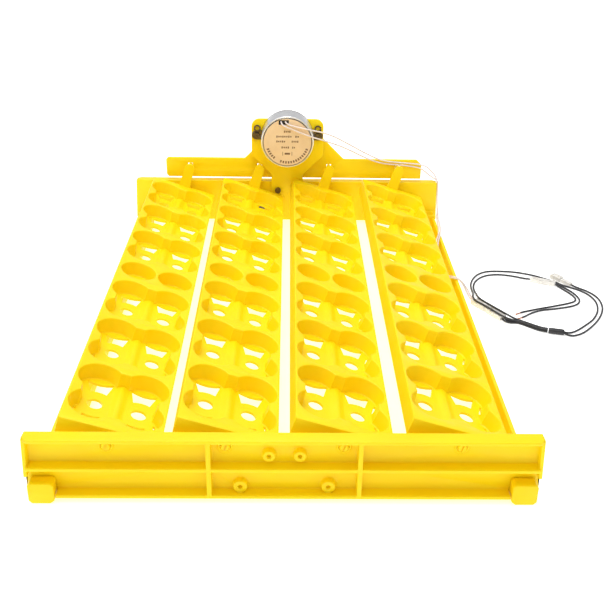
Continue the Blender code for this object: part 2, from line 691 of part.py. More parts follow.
clear_scene()
RACK = new_collection("egg_turning_rack")
CUTTERS = new_collection("cutters")
CUTTERS.hide_render = True
YELLOW = material("yellow_plastic", (0.92, 0.62, 0.03), 0.42)
STEEL = material("bright_steel", (0.72, 0.72, 0.72), 0.3, 1.0)
LABEL = material("gold_label", (0.72, 0.5, 0.28), 0.45)
COPPER = material("copper_winding", (0.72, 0.32, 0.14), 0.4, 1.0)
DARK = material("dark_ferrite", (0.05, 0.05, 0.055), 0.6)
WHITE = material("white_nylon", (0.86, 0.84, 0.8), 0.45)
LEAD_WHITE = material("white_insulation", (0.85, 0.74, 0.7), 0.5)
LEAD_BLACK = material("black_insulation", (0.02, 0.02, 0.025), 0.45)
CUTTER_MAT = material("cutter", (0.5, 0.5, 0.5), 0.5)
main()
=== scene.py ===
"""Looks of the egg turning rack: camera, leads, mouldings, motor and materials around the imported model.

Lengths are written in millimetres and built in metres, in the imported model's own frame.
"""

import math

import bmesh
import bpy
from mathutils import Matrix, Vector


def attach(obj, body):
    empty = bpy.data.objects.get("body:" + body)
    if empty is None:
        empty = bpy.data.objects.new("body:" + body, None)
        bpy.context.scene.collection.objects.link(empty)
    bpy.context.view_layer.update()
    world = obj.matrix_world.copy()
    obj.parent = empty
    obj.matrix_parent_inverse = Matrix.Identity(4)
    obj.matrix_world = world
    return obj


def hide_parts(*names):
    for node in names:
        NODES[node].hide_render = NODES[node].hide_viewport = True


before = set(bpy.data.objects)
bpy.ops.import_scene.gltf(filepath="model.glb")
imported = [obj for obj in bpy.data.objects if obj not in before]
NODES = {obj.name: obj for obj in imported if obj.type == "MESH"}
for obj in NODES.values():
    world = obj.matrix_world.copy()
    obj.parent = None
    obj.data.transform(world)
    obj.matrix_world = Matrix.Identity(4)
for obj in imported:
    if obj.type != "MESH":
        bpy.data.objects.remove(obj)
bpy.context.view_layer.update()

MM = 0.001

# frame
END_Y = 225.0
WEB_IN = 215.5
WEB_OUT = 217.5
RAIL_LOW = 3.0
RAIL_HIGH = 44.0
PIVOT_Z = 36.0
PIVOT_X = (-103.2, -34.4, 34.4, 103.2)

# trays
TILT = 17.5
TRAY_HALF_U = 30.8
TRAY_HALF_Y = 209.0
TRAY_LOW = -7.6
TRAY_HIGH = 5.0
TRAY_FLOOR = -6.0
GROUP_Y = (49.2, 110.85, 172.5)
LOBE_AT = 14.7
LOBE_R = 14.6
NEST_R = 24.3
PAIR_R = 13.6
RING_HOLE_R = 4.9
CELL_U = 14.0
FLOOR_CUT = (-9.0, -4.0)
# How much wider a nest is at each height: it leans, and its rim is rounded.
NEST_PROFILE = (
    (-1.6, TRAY_FLOOR),
    (-1.1, TRAY_FLOOR + 0.5),
    (0.0, TRAY_HIGH - 0.7),
    (0.12, TRAY_HIGH - 0.35),
    (0.4, TRAY_HIGH - 0.08),
    (1.3, TRAY_HIGH + 0.3),
)
LEVER_R = 22.9

# drive
SHAFT_Z = 92.5
BAR_SHIFT = LEVER_R * math.sin(math.radians(TILT))
BAR_Y = (219.0, 222.0)
BRACKET_Y = (212.6, 215.1)

# motor
EAR_X = 30.0
SCREW_HOLE_R = 1.7
CAN_R = 24.9
LABEL_FACE_Y = 188.3
MARKS_Y = (188.18, 188.4)

# wiring
LEAD_R = 0.8
WHITE_R = 0.7
ROUTE_SPACING = 1.1
BARED_END = 5.0


# ---------------------------------------------------------------- camera


def add_camera():
    """The camera at the photograph's viewpoint: height and distance in millimetres, angles in radians."""
    yaw, pitch, roll = 0.024, 0.476, -0.019
    ahead = Vector(
        (math.sin(yaw) * math.cos(pitch), math.cos(yaw) * math.cos(pitch), -math.sin(pitch))
    )
    right = Vector((math.cos(yaw), -math.sin(yaw), 0.0))
    down = ahead.cross(right)
    turned_right = math.cos(roll) * right + math.sin(roll) * down
    turned_down = -math.sin(roll) * right + math.cos(roll) * down
    camera = bpy.data.cameras.new("photo_camera")
    camera.lens = 53.24
    camera.sensor_width = 36.0
    camera.clip_start = 0.01
    camera.clip_end = 20.0
    obj = bpy.data.objects.new("photo_camera", camera)
    bpy.context.scene.collection.objects.link(obj)
    axes = Matrix((turned_right, -turned_down, -ahead)).transposed().to_4x4()
    obj.matrix_world = Matrix.Translation(Vector((0.544, -646.6, 348.6)) * MM) @ axes
    bpy.context.scene.camera = obj


# ---------------------------------------------------------------- mesh helpers


def placed(axis, a, b, h):
    """A point from its two coordinates across the axis and its height along it."""
    if axis == "x":
        return Vector((h, a, b)) * MM
    if axis == "y":
        return Vector((a, h, b)) * MM
    return Vector((a, b, h)) * MM


def add_loft(bm, axis, low_points, low, high_points, high):
    """A closed solid between two outlines with the same number of points."""
    count = len(low_points)
    lower = [bm.verts.new(placed(axis, a, b, low)) for a, b in low_points]
    upper = [bm.verts.new(placed(axis, a, b, high)) for a, b in high_points]
    faces = [bm.faces.new(lower), bm.faces.new(upper)]
    for i in range(count):
        j = (i + 1) % count
        faces.append(bm.faces.new((lower[i], lower[j], upper[j], upper[i])))
    bmesh.ops.recalc_face_normals(bm, faces=faces)
    return bm


def add_stack(bm, axis, levels):
    """A closed solid through outlines with the same number of points, each at its own height."""
    rows = [[bm.verts.new(placed(axis, a, b, h)) for a, b in points] for points, h in levels]
    count = len(rows[0])
    faces = [bm.faces.new(rows[0]), bm.faces.new(rows[-1])]
    for lower, upper in zip(rows, rows[1:]):
        for i in range(count):
            j = (i + 1) % count
            faces.append(bm.faces.new((lower[i], lower[j], upper[j], upper[i])))
    bmesh.ops.recalc_face_normals(bm, faces=faces)
    return bm


def add_tube(bm, rows):
    """Walls between rings of points that are already in the mesh, and a cap at each end."""
    count = len(rows[0])
    for low, high in zip(rows, rows[1:]):
        for i in range(count):
            j = (i + 1) % count
            bm.faces.new((low[i], low[j], high[j], high[i]))
    bm.faces.new(list(reversed(rows[0])))
    bm.faces.new(rows[-1])


def add_prism(bm, axis, points, low, high):
    return add_loft(bm, axis, points, low, points, high)


def circle(a, b, radius, count, turn=0.0):
    step = 2 * math.pi / count
    return [
        (a + radius * math.cos(turn + i * step), b + radius * math.sin(turn + i * step))
        for i in range(count)
    ]


def arc(a, b, radius, start, end, steps):
    """Points of an arc, with its angles in degrees."""
    points = []
    for i in range(steps + 1):
        angle = math.radians(start + (end - start) * i / steps)
        points.append((a + radius * math.cos(angle), b + radius * math.sin(angle)))
    return points


def add_box(bm, x, y, z):
    corners = [(x[0], y[0]), (x[1], y[0]), (x[1], y[1]), (x[0], y[1])]
    return add_prism(bm, "z", corners, z[0], z[1])


def add_round(bm, axis, a, b, radius, low, high, count=32, far_radius=None):
    """A round bar along the axis, tapered where a second radius is given."""
    first = circle(a, b, radius, count)
    second = circle(a, b, radius if far_radius is None else far_radius, count)
    return add_loft(bm, axis, first, low, second, high)


def shell():
    return bmesh.new()


def raw_object(name, bm):
    mesh = bpy.data.meshes.new(name)
    bm.to_mesh(mesh)
    bm.free()
    obj = bpy.data.objects.new(name, mesh)
    bpy.context.scene.collection.objects.link(obj)
    return obj


def evaluated_mesh(obj):
    bpy.context.view_layer.update()
    graph = bpy.context.evaluated_depsgraph_get()
    return bpy.data.meshes.new_from_object(obj.evaluated_get(graph))


def carved(name, base, steps):
    """The object of a base shell after the unions and cuts of steps, in their order."""
    obj = raw_object(name, base)
    tools = []
    for operation, bm in steps:
        tool = raw_object("tool", bm)
        step = obj.modifiers.new(operation, "BOOLEAN")
        step.operation = operation
        step.solver = "EXACT"
        step.object = tool
        step.use_self = operation == "UNION"
        tools.append(tool)
    mesh = evaluated_mesh(obj)
    for tool in tools:
        bpy.data.objects.remove(tool)
    obj.modifiers.clear()
    obj.data = mesh
    return obj


def rounded(obj, width, segments=2, angle=32.0):
    """Softens the edges of a carved object, and leaves it smooth with its sharp edges marked."""
    bm = bmesh.new()
    bm.from_mesh(obj.data)
    bmesh.ops.remove_doubles(bm, verts=bm.verts, dist=0.000001)
    bm.to_mesh(obj.data)
    bm.free()
    bevel = obj.modifiers.new("edge", "BEVEL")
    bevel.width = width * MM
    bevel.segments = segments
    bevel.limit_method = "ANGLE"
    bevel.angle_limit = math.radians(angle)
    bevel.use_clamp_overlap = False
    bevel.miter_outer = "MITER_ARC"
    mesh = evaluated_mesh(obj)
    obj.modifiers.clear()
    obj.data = mesh
    return smoothed(obj)


def smoothed(obj, angle=38.0):
    obj.data.shade_smooth()
    obj.data.set_sharp_from_angle(angle=math.radians(angle))
    return obj


def finish_piece(obj, mat, body, slot, *replaced):
    """Gives a piece its material, the body that it moves with and the CAD nodes that it stands for."""
    obj.data.materials.clear()
    obj.data.materials.append(mat)
    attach(obj, body)
    if replaced:
        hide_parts(*replaced)
    return obj


# ---------------------------------------------------------------- materials


def new_material(name, colour, roughness, metallic=0.0):
    made = bpy.data.materials.new(name)
    made.use_nodes = True
    shader = made.node_tree.nodes["Principled BSDF"]
    shader.inputs["Base Color"].default_value = (*colour, 1.0)
    shader.inputs["Roughness"].default_value = roughness
    shader.inputs["Metallic"].default_value = metallic
    made.diffuse_color = (*colour, 1.0)
    return made, shader


def noise(tree, scale, detail=3.0):
    """A noise in object space: scale is in cells per metre."""
    place = tree.nodes.new("ShaderNodeTexCoord")
    texture = tree.nodes.new("ShaderNodeTexNoise")
    texture.inputs["Scale"].default_value = scale
    texture.inputs["Detail"].default_value = detail
    tree.links.new(place.outputs["Object"], texture.inputs["Vector"])
    return texture.outputs["Fac"]


def spread(tree, value, low, high):
    """Maps a noise's middle range to low and high."""
    node = tree.nodes.new("ShaderNodeMapRange")
    node.inputs["From Min"].default_value = 0.3
    node.inputs["From Max"].default_value = 0.7
    node.inputs["To Min"].default_value = low
    node.inputs["To Max"].default_value = high
    tree.links.new(value, node.inputs["Value"])
    return node.outputs["Result"]


def two_colours(tree, value, first, second):
    mix = tree.nodes.new("ShaderNodeMix")
    mix.data_type = "RGBA"
    mix.inputs["A"].default_value = (*first, 1.0)
    mix.inputs["B"].default_value = (*second, 1.0)
    tree.links.new(value, mix.inputs["Factor"])
    return mix.outputs["Result"]


def bump(tree, shader, value, strength, distance):
    node = tree.nodes.new("ShaderNodeBump")
    node.inputs["Strength"].default_value = strength
    node.inputs["Distance"].default_value = distance
    tree.links.new(value, node.inputs["Height"])
    tree.links.new(node.outputs["Normal"], shader.inputs["Normal"])


def surface(name, first, second, patch, rough, grain, relief, metallic=0.0):
    """A material whose colour drifts between two tones, with an uneven gloss and a fine grain.

    patch and grain are noise scales in cells per metre, rough is the range of roughness, and relief
    is the bump's strength and height in metres.
    """
    made, shader = new_material(name, first, sum(rough) / 2, metallic)
    tree = made.node_tree
    tone = spread(tree, noise(tree, patch), 0.0, 1.0)
    tree.links.new(two_colours(tree, tone, first, second), shader.inputs["Base Color"])
    gloss = spread(tree, noise(tree, patch * 5.0), *rough)
    tree.links.new(gloss, shader.inputs["Roughness"])
    bump(tree, shader, noise(tree, grain, 2.0), *relief)
    return made, shader


def yellow_plastic():
    made, shader = surface(
        "yellow_polypropylene",
        (1.0, 0.76, 0.003),
        (0.98, 0.71, 0.002),
        26.0,
        (0.36, 0.5),
        900.0,
        (0.1, 0.0003),
    )
    shader.inputs["Specular IOR Level"].default_value = 0.28
    shader.inputs["Subsurface Weight"].default_value = 0.12
    shader.inputs["Subsurface Radius"].default_value = (1.0, 0.55, 0.08)
    shader.inputs["Subsurface Scale"].default_value = 0.004
    return made


def make_materials():
    made = {"yellow": yellow_plastic()}
    finishes = {
        "can": (
            "zinc_plated_can", (0.86, 0.86, 0.87), (0.77, 0.77, 0.79), 160.0, (0.26, 0.42),
            2600.0, (0.12, 0.0002), 1.0,
        ),
        "steel": (
            "bright_steel", (0.62, 0.61, 0.6), (0.46, 0.45, 0.44), 300.0, (0.22, 0.4),
            3000.0, (0.1, 0.0001), 1.0,
        ),
        # Dark steel: the screw heads' own dark colour, and painted shade on the motor's back plate ears.
        "dark_steel": (
            "blackened_steel", (0.2, 0.17, 0.13), (0.11, 0.09, 0.07), 420.0, (0.26, 0.42),
            3000.0, (0.1, 0.0001), 1.0,
        ),
        "label": (
            "gold_film", (0.87, 0.66, 0.42), (0.8, 0.59, 0.36), 120.0, (0.4, 0.52),
            2400.0, (0.06, 0.0001),
        ),
        "print": (
            "brown_print", (0.16, 0.09, 0.05), (0.24, 0.14, 0.08), 900.0, (0.5, 0.62),
            2400.0, (0.05, 0.0001),
        ),
        "copper": (
            "copper_winding", (0.78, 0.34, 0.16), (0.6, 0.22, 0.09), 500.0, (0.28, 0.42),
            3200.0, (0.2, 0.0002), 1.0,
        ),
        "ferrite": (
            "dark_ferrite", (0.05, 0.05, 0.055), (0.03, 0.03, 0.035), 300.0, (0.5, 0.66),
            1800.0, (0.25, 0.0002),
        ),
        "nylon": (
            "white_nylon", (0.83, 0.81, 0.77), (0.77, 0.74, 0.68), 190.0, (0.34, 0.48),
            1500.0, (0.12, 0.0002),
        ),
        "white_lead": (
            "pale_insulation", (0.86, 0.78, 0.77), (0.8, 0.69, 0.68), 90.0, (0.36, 0.5),
            1700.0, (0.08, 0.0001),
        ),
        "black_lead": (
            "black_insulation", (0.014, 0.014, 0.017), (0.028, 0.028, 0.032), 120.0, (0.3, 0.46),
            1700.0, (0.1, 0.0001),
        ),
        # Near-black: painted shade for the inside of the lead exit notch in the can.
        "bore": (
            "dark_bore", (0.03, 0.028, 0.025), (0.05, 0.045, 0.04), 400.0, (0.7, 0.85),
            1500.0, (0.1, 0.0001),
        ),
    }
    for key, settings in finishes.items():
        made[key] = surface(*settings)[0]
    return made


# ---------------------------------------------------------------- wiring


def smooth_route(knots, spacing):
    """Points a fixed way apart, in metres, on a Catmull-Rom curve through the knots."""
    ends = [knots[0]] + list(knots) + [knots[-1]]
    fine = []
    for i in range(len(knots) - 1):
        p0, p1, p2, p3 = (Vector(p) for p in ends[i : i + 4])
        for step in range(20):
            t = step / 20
            bend = (3 * p1 - p0 - 3 * p2 + p3) * t**3
            fine.append(
                0.5 * (2 * p1 + (p2 - p0) * t + (2 * p0 - 5 * p1 + 4 * p2 - p3) * t * t + bend)
            )
    fine.append(Vector(knots[-1]))
    total = sum((b - a).length for a, b in zip(fine, fine[1:]))
    count = max(8, round(total / spacing))
    route = [fine[0]]
    run = 0.0
    for a, b in zip(fine, fine[1:]):
        length = (b - a).length
        while len(route) < count and run + length >= total * len(route) / count:
            route.append(a.lerp(b, (total * len(route) / count - run) / length))
        run += length
    return [point * MM for point in route[:count] + [fine[-1]]]


# Each route runs from where the lead leaves a piece to where it ends, in millimetres.
WHITE_LOWER = [
    (-6.0, 189.9, 112.3), (-6.0, 188.3, 112.3), (-5.6, 187.0, 111.4), (-3.6, 186.3, 109.2),
    (5.9, 186.0, 105.3),
    (16.0, 186.0, 101.2), (21.4, 186.2, 99.3), (27.0, 188.2, 96.9), (33.0, 192.0, 94.2),
    (46.9, 199.4, 87.6), (55.7, 204.2, 82.8), (64.7, 209.1, 77.4), (73.7, 212.8, 72.0),
    (82.7, 215.8, 67.4), (90.0, 217.2, 64.6), (97.0, 217.3, 63.2), (105.0, 217.3, 62.4),
    (117.7, 217.3, 61.4), (126.5, 217.3, 60.2), (131.8, 217.5, 59.0), (136.4, 218.0, 56.3),
    (142.3, 218.8, 51.4), (147.6, 219.2, 47.8), (151.2, 219.4, 44.8), (152.0, 219.4, 38.6),
    (152.5, 219.0, 28.0), (152.9, 217.4, 20.0), (152.6, 212.4, 14.4), (151.0, 204.0, 12.4),
    (150.0, 190.0, 12.0), (148.4, 172.0, 12.0), (146.2, 158.0, 12.0), (142.7, 146.2, 11.1),
    (140.5, 134.2, 7.8), (139.2, 120.0, 4.2), (139.0, 104.0, 3.4), (139.2, 88.0, 3.8),
    (140.0, 76.0, 6.6), (141.2, 67.4, 10.2), (144.2, 61.2, 12.2), (148.8, 58.4, 12.4),
    (152.4, 57.6, 9.2), (154.6, 56.9, 5.4), (156.6, 54.4, 2.0), (157.3, 50.0, 0.9),
    (157.6, 45.0, 1.1), (158.5, 40.0, 1.9), (158.9, 37.6, 2.1),
]
WHITE_UPPER = [
    (-2.0, 189.9, 112.3), (-2.0, 188.3, 112.3), (-1.0, 187.0, 111.4), (2.4, 186.3, 109.8),
    (9.5, 186.0, 108.0),
    (18.2, 186.2, 106.2), (24.0, 188.0, 104.4), (33.8, 192.9, 101.0), (45.0, 198.4, 95.6),
    (55.5, 204.2, 88.8), (64.5, 209.1, 82.7), (73.4, 212.8, 76.9), (82.5, 215.8, 71.6),
    (90.0, 217.2, 68.0), (97.0, 217.3, 66.1), (104.5, 217.3, 65.0), (117.6, 217.3, 63.9),
    (126.2, 217.3, 63.3), (133.3, 217.8, 62.2), (139.8, 219.0, 59.4), (145.2, 220.4, 54.2),
    (149.4, 221.2, 48.8), (151.6, 221.4, 43.0), (152.1, 221.4, 37.0), (152.7, 221.0, 28.0),
    (153.2, 219.3, 19.4), (153.8, 213.4, 12.8), (152.8, 204.4, 11.2), (151.9, 190.0, 11.6),
    (150.2, 172.0, 12.0), (147.6, 156.8, 12.1), (144.5, 145.8, 11.3), (142.3, 133.8, 7.8),
    (141.1, 119.6, 4.2), (140.8, 104.0, 3.4), (141.0, 88.4, 3.8), (141.8, 76.8, 6.6),
    (143.2, 69.0, 10.2), (146.0, 63.2, 12.2), (149.2, 60.4, 12.2), (152.6, 59.6, 9.4),
    (155.8, 58.8, 5.4), (158.3, 56.0, 2.0), (159.1, 51.0, 0.9), (159.5, 45.6, 1.1),
    (160.5, 41.2, 1.9), (160.85, 38.8, 2.1),
]
FEED_LOWER = [
    (177.4, 5.3, 2.0), (179.2, 2.5, 1.4), (183.4, 0.8, 0.9), (189.75, 0.15, 0.9),
    (196.65, -5.65, 0.9), (203.4, -11.65, 1.1), (209.4, -15.0, 1.5),
]
FEED_UPPER = [
    (179.6, 6.4, 2.0), (181.4, 4.2, 1.4), (184.8, 3.0, 0.9), (191.05, 1.7, 0.9),
    (197.95, -4.1, 0.9), (204.8, -10.1, 1.1), (210.05, -13.2, 1.5),
]
LONG_LOOP = [
    (209.4, -15.0, 3.3), (203.4, -11.65, 2.9), (196.65, -5.65, 2.7), (189.75, 0.15, 2.7),
    (184.6, 1.6, 3.2), (179.6, 3.2, 4.3), (175.1, 7.6, 5.1), (170.4, 15.3, 5.15),
    (165.2, 23.9, 5.15), (159.9, 32.2, 5.15), (158.9, 38.5, 5.15), (160.0, 44.4, 4.6),
    (161.2, 51.0, 2.8), (161.9, 58.0, 1.2), (162.2, 64.0, 0.9), (163.4, 72.4, 0.9),
    (167.0, 82.6, 0.9), (173.1, 92.2, 0.9), (181.7, 98.4, 0.9), (192.6, 99.9, 0.9),
    (206.9, 98.4, 0.9), (216.8, 95.0, 0.9), (224.0, 91.3, 0.9), (230.5, 86.3, 0.9),
    (236.8, 81.2, 0.9), (241.2, 76.4, 0.9), (245.6, 71.4, 0.9), (250.6, 67.4, 0.9),
    (255.4, 63.4, 0.9), (259.2, 59.0, 0.9), (262.4, 53.4, 0.9), (264.4, 46.5, 0.9),
    (264.9, 38.5, 0.9), (263.4, 29.1, 0.9), (259.6, 18.5, 0.9), (252.8, 7.1, 0.9),
    (244.4, -2.1, 0.9), (236.5, -9.8, 0.9), (230.4, -14.4, 0.9), (225.8, -16.4, 1.3),
    (222.2, -16.6, 2.2),
]
SHORT_LOOP = [
    (210.05, -13.2, 3.3), (204.8, -10.1, 2.9), (197.95, -4.1, 2.7), (191.05, 1.7, 2.7),
    (186.6, 4.3, 3.3), (182.1, 7.8, 4.5), (177.6, 13.2, 5.15), (172.4, 21.6, 5.15),
    (167.2, 30.1, 5.15), (164.2, 35.6, 5.15), (162.9, 41.4, 5.0), (163.5, 47.0, 3.9),
    (164.0, 54.0, 1.6), (164.2, 61.0, 0.9), (165.2, 68.8, 0.9), (168.2, 77.2, 0.9),
    (174.2, 85.6, 0.9), (181.8, 90.8, 0.9), (190.3, 92.6, 0.9), (198.4, 91.6, 0.9),
    (205.6, 89.2, 0.9), (213.2, 84.9, 1.2), (218.1, 81.7, 1.9),
]
OUTER_RETURN = [
    (221.8, -18.5, 2.2), (225.2, -19.9, 1.2), (229.8, -20.2, 0.9), (238.2, -15.5, 0.9),
    (248.3, -5.0, 0.9), (258.0, 8.2, 0.9), (265.0, 21.7, 0.9), (268.4, 33.4, 0.9),
    (269.0, 45.5, 0.9), (266.6, 54.4, 0.9), (262.5, 61.2, 0.9), (258.2, 65.8, 0.9),
    (255.0, 68.7, 1.2), (252.75, 70.9, 1.6),
]
TAIL_INNER = [
    (238.45, 71.1, 1.9), (240.6, 67.6, 1.3), (243.6, 62.4, 0.9), (246.6, 56.0, 0.9),
    (248.6, 49.6, 0.9), (248.8, 44.2, 0.9), (246.4, 40.0, 0.9), (241.0, 36.6, 0.9),
    (232.3, 33.0, 0.9), (221.0, 28.8, 0.9), (213.5, 26.2, 0.9), (206.0, 23.2, 0.9),
    (197.4, 19.6, 0.9), (190.8, 15.6, 0.9),
]
TAIL_OUTER = [
    (239.35, 73.0, 1.9), (242.6, 69.8, 1.3), (246.2, 64.8, 0.9), (249.6, 57.8, 0.9),
    (251.6, 50.4, 0.9), (251.8, 42.6, 0.9), (249.0, 36.4, 0.9), (243.8, 32.0, 0.9),
    (236.0, 28.8, 0.9), (225.5, 25.8, 0.9), (215.6, 23.6, 0.9), (209.0, 20.6, 0.9),
    (202.6, 16.4, 0.9), (196.8, 11.4, 0.9), (190.4, 7.4, 0.9),
]


def lead(name, node, knots, radius, mat, slot, cut=0.0):
    """A lead's insulation along its route, which stops short of the end by cut, in millimetres."""
    route = smooth_route(knots, ROUTE_SPACING)
    while cut and (route[-1] - Vector(knots[-1]) * MM).length < cut * MM:
        route.pop()
    curve = bpy.data.curves.new(name, "CURVE")
    curve.dimensions = "3D"
    curve.bevel_depth = radius * MM
    curve.bevel_resolution = 4
    curve.use_fill_caps = True
    spline = curve.splines.new("POLY")
    spline.points.add(len(route) - 1)
    for point, at in zip(spline.points, route):
        point.co = (*at, 1.0)
    spline.use_smooth = True
    obj = bpy.data.objects.new(name, curve)
    bpy.context.scene.collection.objects.link(obj)
    finish_piece(obj, mat, "rack", slot, node)
    return obj, route


def strands(name, route, knots, mat):
    """The bared end of a lead: a twist of seven wires from the insulation to the route's end."""
    start = route[-1]
    end = Vector(knots[-1]) * MM
    along = (end - start).normalized()
    side = along.cross(Vector((0, 0, 1))).normalized()
    up = side.cross(along)
    bm = shell()
    rings = 9
    for wire in range(7):
        spin = 2 * math.pi * wire / 6
        offset = 0.0 if wire == 6 else 0.34 * MM
        rows = []
        for i in range(rings):
            share = i / (rings - 1)
            turn = spin + 2.2 * share
            flare = 1.0 + 0.5 * share * share
            middle = start.lerp(end, share) - along * 0.8 * MM * (1 - share)
            middle += (side * math.cos(turn) + up * math.sin(turn)) * offset * flare
            rows.append(
                [
                    bm.verts.new(
                        middle
                        + (side * math.cos(a * math.pi / 3) + up * math.sin(a * math.pi / 3))
                        * 0.16
                        * MM
                    )
                    for a in range(6)
                ]
            )
        add_tube(bm, rows)
    bmesh.ops.recalc_face_normals(bm, faces=bm.faces)
    obj = smoothed(raw_object(name, bm))
    return finish_piece(obj, mat, "rack", "copper_winding")


def along_line(start, end):
    """The matrix of a housing's own frame: X along it, Y across it, Z up, and its length."""
    first = Vector((*start, 0.0))
    run = Vector((*end, 0.0)) - first
    ahead = run.normalized()
    across = Vector((-ahead.y, ahead.x, 0.0))
    matrix = Matrix((ahead, across, Vector((0, 0, 1)))).transposed().to_4x4()
    return Matrix.Translation(first * MM) @ matrix, run.length


def housing(name, node, start, end, width, height, bores, latch, mat):
    """A moulded connector housing: wire bores in its ends, contact windows on top and a latch."""
    matrix, length = along_line(start, end)
    half = width / 2
    steps = []
    band = add_box(shell(), (length * 0.36, length * 0.5), (-half - 0.25, half + 0.25), (0.4, height))
    steps.append(("UNION", band))
    if latch:
        rib = [(length * 0.5, height - 0.3), (length * 0.93, height - 0.3)]
        rib += [(length * 0.93, height + 0.25), (length * 0.86, height + 0.7), (length * 0.56, height + 0.2)]
        bm = add_prism(shell(), "y", rib, -width * 0.17, width * 0.17)
        steps.append(("UNION", bm))
    holes = shell()
    for at_start, across, up, radius in bores:
        low, high = (-1.0, 2.6) if at_start else (length - 2.6, length + 1.0)
        add_round(holes, "x", across, up, radius, low, high, 20)
    steps.append(("DIFFERENCE", holes))
    windows = shell()
    for side in (-1, 1):
        low, high = sorted((side * width * 0.12, side * width * 0.33))
        add_box(windows, (length * 0.12, length * 0.29), (low, high), (height - 0.9, height + 2))
    steps.append(("DIFFERENCE", windows))
    body = add_box(shell(), (0.0, length), (-half, half), (0.0, height))
    obj = carved(name, body, steps)
    rounded(obj, 0.28, 2)
    obj.data.transform(matrix)
    return finish_piece(obj, mat, "rack", "white_nylon", node)


def sleeve(mat):
    """The shrunk sleeve over the joint of the black leads: oval, and tighter at its two ends."""
    matrix, length = along_line((210.4, -14.5), (222.1, -17.6))
    bm = shell()
    rows = []
    stations = ((0.0, 0.84), (0.04, 0.93), (0.16, 0.98), (0.3, 1.0), (0.5, 0.97), (0.7, 1.0))
    stations += ((0.84, 0.98), (0.96, 0.93), (1.0, 0.84))
    count = 28
    for share, size in stations:
        row = []
        for i in range(count):
            angle = 2 * math.pi * i / count
            ripple = 1.0 + 0.015 * math.sin(3 * angle + 14 * share)
            y = 2.5 * size * ripple * math.copysign(abs(math.cos(angle)) ** 0.8, math.cos(angle))
            z = 2.3 * size * ripple * math.copysign(abs(math.sin(angle)) ** 0.8, math.sin(angle))
            row.append(bm.verts.new(Vector((length * share, y, 2.36 + z)) * MM))
        rows.append(row)
    add_tube(bm, rows)
    bmesh.ops.recalc_face_normals(bm, faces=bm.faces)
    obj = smoothed(raw_object("splice_sleeve_skin", bm), 50.0)
    obj.data.transform(matrix)
    return finish_piece(obj, mat, "rack", "black_insulation", "splice_sleeve")


def build_wiring(mats):
    nylon = mats["nylon"]
    plug = housing(
        "motor_lead_plug", "plug_housing", (160.2, 37.2), (168.3, 24.0), 8.4, 4.2,
        [(True, 1.1, 2.1, 1.0), (True, -1.1, 2.1, 1.0)], True, nylon,
    )
    socket = housing(
        "motor_lead_socket", "socket_housing", (168.5, 23.7), (178.0, 6.4), 7.2, 4.0,
        [(False, 1.1, 2.0, 1.05), (False, -1.1, 2.0, 1.05)], False, nylon,
    )
    inline_a = housing(
        "inline_plug_a", "inline_housing_a", (218.6, 81.4), (238.4, 72.4), 5.4, 3.8,
        [(True, 0.0, 1.9, 1.0), (False, 1.1, 1.9, 0.95), (False, -1.1, 1.9, 0.95)], True, nylon,
    )
    inline_b = housing(
        "inline_plug_b", "inline_housing_b", (240.0, 89.0), (245.9, 80.6), 6.4, 4.2,
        [(True, 1.2, 2.1, 0.9), (True, -1.2, 2.1, 0.9)], True, nylon,
    )
    socket_b = housing(
        "inline_socket_b_body", "inline_socket_b", (246.1, 80.3), (252.4, 71.4), 4.2, 3.2,
        [(False, 0.0, 1.6, 1.0)], False, nylon,
    )
    joint = sleeve(mats["black_lead"])
    black = (LEAD_R, mats["black_lead"], "black_insulation")
    white = (WHITE_R, mats["white_lead"], "white_insulation")
    runs = [
        ("motor_lead_a", "white_lead_lower", WHITE_LOWER, white, "connector", [plug]),
        ("motor_lead_b", "white_lead_upper", WHITE_UPPER, white, "connector", [plug]),
        ("feed_lead_a", "feed_lead_lower", FEED_LOWER, black, "fitting", [joint, socket]),
        ("feed_lead_b", "feed_lead_upper", FEED_UPPER, black, "fitting", [joint]),
        ("long_loop", "long_loop_lead", LONG_LOOP, black, "fitting", [joint]),
        ("short_loop", "short_loop_lead", SHORT_LOOP, black, "connector", [inline_a]),
        ("return_loop", "return_loop_lead", OUTER_RETURN, black, "connector", [socket_b, inline_b]),
    ]
    for name, node, knots, (radius, mat, slot), far_end, pieces in runs:
        obj, route = lead(name, node, knots, radius, mat, slot)
    for name, node, knots in (
        ("tail_a", "tail_lead_inner", TAIL_INNER),
        ("tail_b", "tail_lead_outer", TAIL_OUTER),
    ):
        obj, route = lead(name, node, knots, *black, cut=BARED_END)
        tip = strands(name + "_strands", route, knots, mats["copper"])


# ---------------------------------------------------------------- trays


def nest_outline(lobe_at, lobe_r, nest_r, steps=14):
    """Four egg lobes and, through their middle, the round of one large egg: a closed outline."""
    d = lobe_at * math.sqrt(2)
    reach = math.acos((nest_r**2 - d**2 - lobe_r**2) / (2 * d * lobe_r))
    points = []
    for quarter in range(4):
        middle = math.radians(45 + 90 * quarter)
        centre = (d * math.cos(middle), d * math.sin(middle))
        for i in range(steps + 1):
            angle = middle - reach + 2 * reach * i / steps
            points.append(
                (centre[0] + lobe_r * math.cos(angle), centre[1] + lobe_r * math.sin(angle))
            )
        for turn in (84, 90, 96):
            tip = math.radians(turn + 90 * quarter)
            points.append((nest_r * math.cos(tip), nest_r * math.sin(tip)))
    return points


def moved(points, u, y):
    return [(a + u, b + y) for a, b in points]


def bow_outline(side, fore):
    """A floor opening before or behind a cell's ring, hollow on both long sides."""
    inner = [(-5.4, 12.0), (-2.8, 12.9), (0.0, 13.2), (2.8, 12.9), (5.4, 12.0)]
    outer = [(8.8, 23.4), (4.6, 22.1), (0.4, 21.8), (-4.0, 22.8), (-8.2, 24.6)]
    return [(side * (CELL_U + a), fore * b) for a, b in inner + outer]


